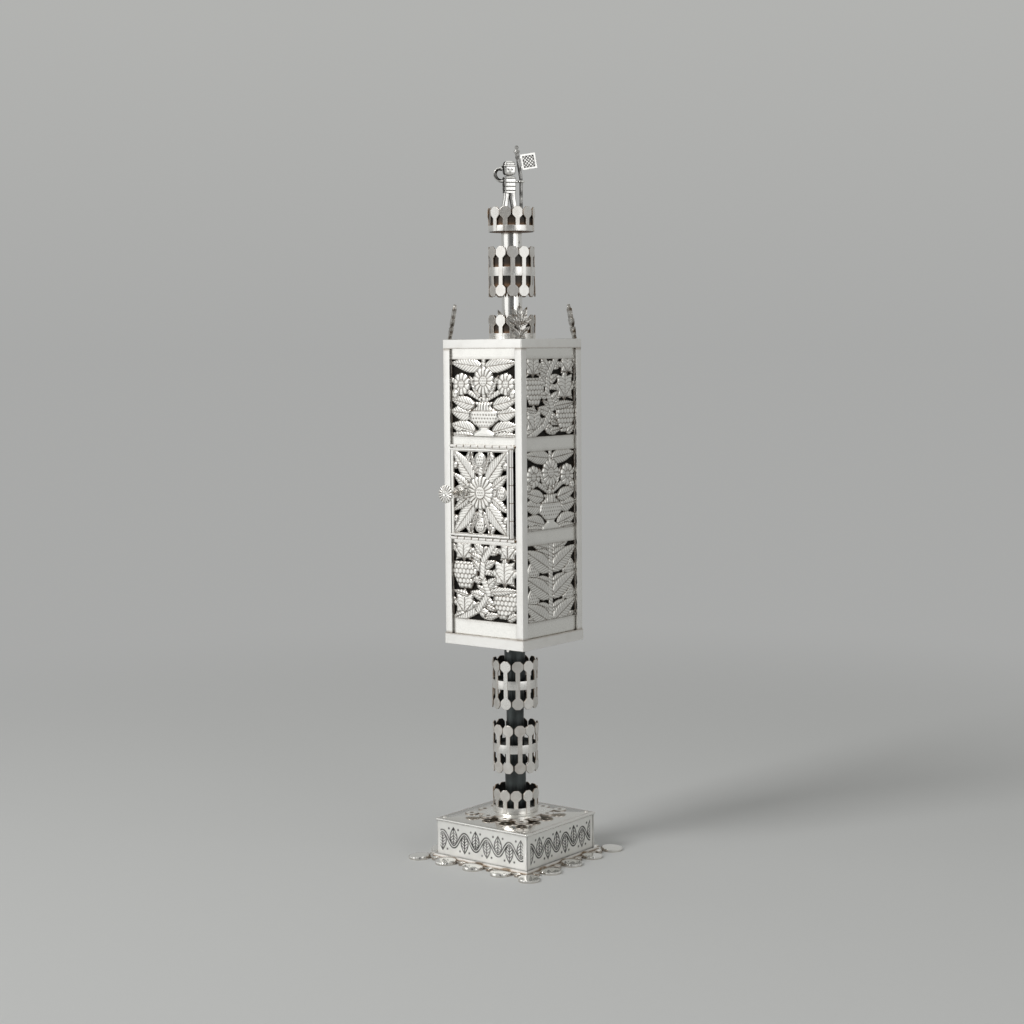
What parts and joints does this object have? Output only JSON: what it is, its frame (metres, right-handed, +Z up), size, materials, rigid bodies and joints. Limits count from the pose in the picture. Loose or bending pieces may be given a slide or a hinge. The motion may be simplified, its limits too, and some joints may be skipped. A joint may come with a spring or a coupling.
{
  "type": "besamim_spice_box",
  "caption": "Silver besamim spice tower: pierced square lantern with a hinged door on a galleried stem and square foot, galleried spire above with a small flag bearer",
  "frame": {"origin": "bottom centre of the foot plate, on the surface that the tower stands on", "axes": "+Z up along the tower, the door faces -Y, the hinge side of the door is +X"},
  "size_m": [0.0588, 0.0588, 0.26],
  "materials": {
    "silver_satin": "hand-finished satin silver, tarnished in the joints",
    "silver_chased": "pierced and chased sheet silver, dark in the cuts",
    "silver_oxidised": "blackened silver, low sheen",
    "copper_rivet": "tarnished copper"
  },
  "bodies": {
    "tower": {"foot_plate": "silver_satin", "base_wall_front": "silver_satin", "base_wall_right": "silver_satin", "base_wall_back": "silver_satin", "base_wall_left": "silver_satin", "base_top_plate": "silver_satin", "base_corner_rivets": "silver_satin", "rosette_plate": "silver_satin", "base_crown": "silver_satin", "lower_gallery": "silver_satin", "upper_gallery": "silver_satin", "floor_tray": "silver_satin", "post_front_left": "silver_satin", "post_front_right": "silver_satin", "post_back_left": "silver_satin", "post_back_right": "silver_satin", "upper_door_rail": "silver_satin", "lower_door_rail": "silver_satin", "hinge_pin": "silver_satin", "top_cap": "silver_satin", "roof_spigot": "silver_satin", "roof_crown": "silver_satin", "spire_tube": "silver_satin", "spire_gallery": "silver_satin", "spire_pin": "silver_satin", "top_crown": "silver_satin", "figure_legs": "silver_satin", "figure_torso": "silver_satin", "figure_head": "silver_satin", "figure_arms": "silver_satin", "flagpole": "silver_satin", "flag": "silver_satin", "right_panel": "silver_chased", "back_panel": "silver_chased", "left_panel": "silver_chased", "front_lower_panel": "silver_chased", "front_upper_panel": "silver_chased", "crest_front_left": "silver_chased", "crest_front_right": "silver_chased", "crest_back_left": "silver_chased", "crest_back_right": "silver_chased", "stem_tube": "silver_oxidised", "lower_sleeve": "silver_oxidised", "upper_sleeve": "silver_oxidised", "lower_gallery_disc": "silver_oxidised", "upper_gallery_disc": "silver_oxidised", "spire_gallery_disc": "silver_oxidised", "crown_plug": "silver_oxidised", "upper_stem_pin": "silver_oxidised", "stem_washer": "silver_oxidised", "stem_nut": "silver_oxidised", "panel_linings": "silver_oxidised", "lower_stem_pin": "copper_rivet"},
    "door": {"door_panel": "silver_chased", "door_cross_bars": "silver_satin", "door_side_bar": "silver_satin", "door_hinge_tube": "silver_satin"},
    "catch": {"knob_shaft": "silver_satin", "knob_rosette": "silver_satin", "catch_tongue": "silver_satin"}
  },
  "joints": [
    {"name": "door_hinge", "type": "hinge", "parent": "tower", "child": "door", "pos_m": [0.01325, -0.01795, 0.13515], "axis": [0, 0, 1], "range_deg": [0, 130]},
    {"name": "knob_turn", "type": "hinge", "parent": "door", "child": "catch", "pos_m": [-0.0125, -0.0179, 0.13515], "axis": [0, 1, 0], "range_deg": [0, 90]}
  ]
}
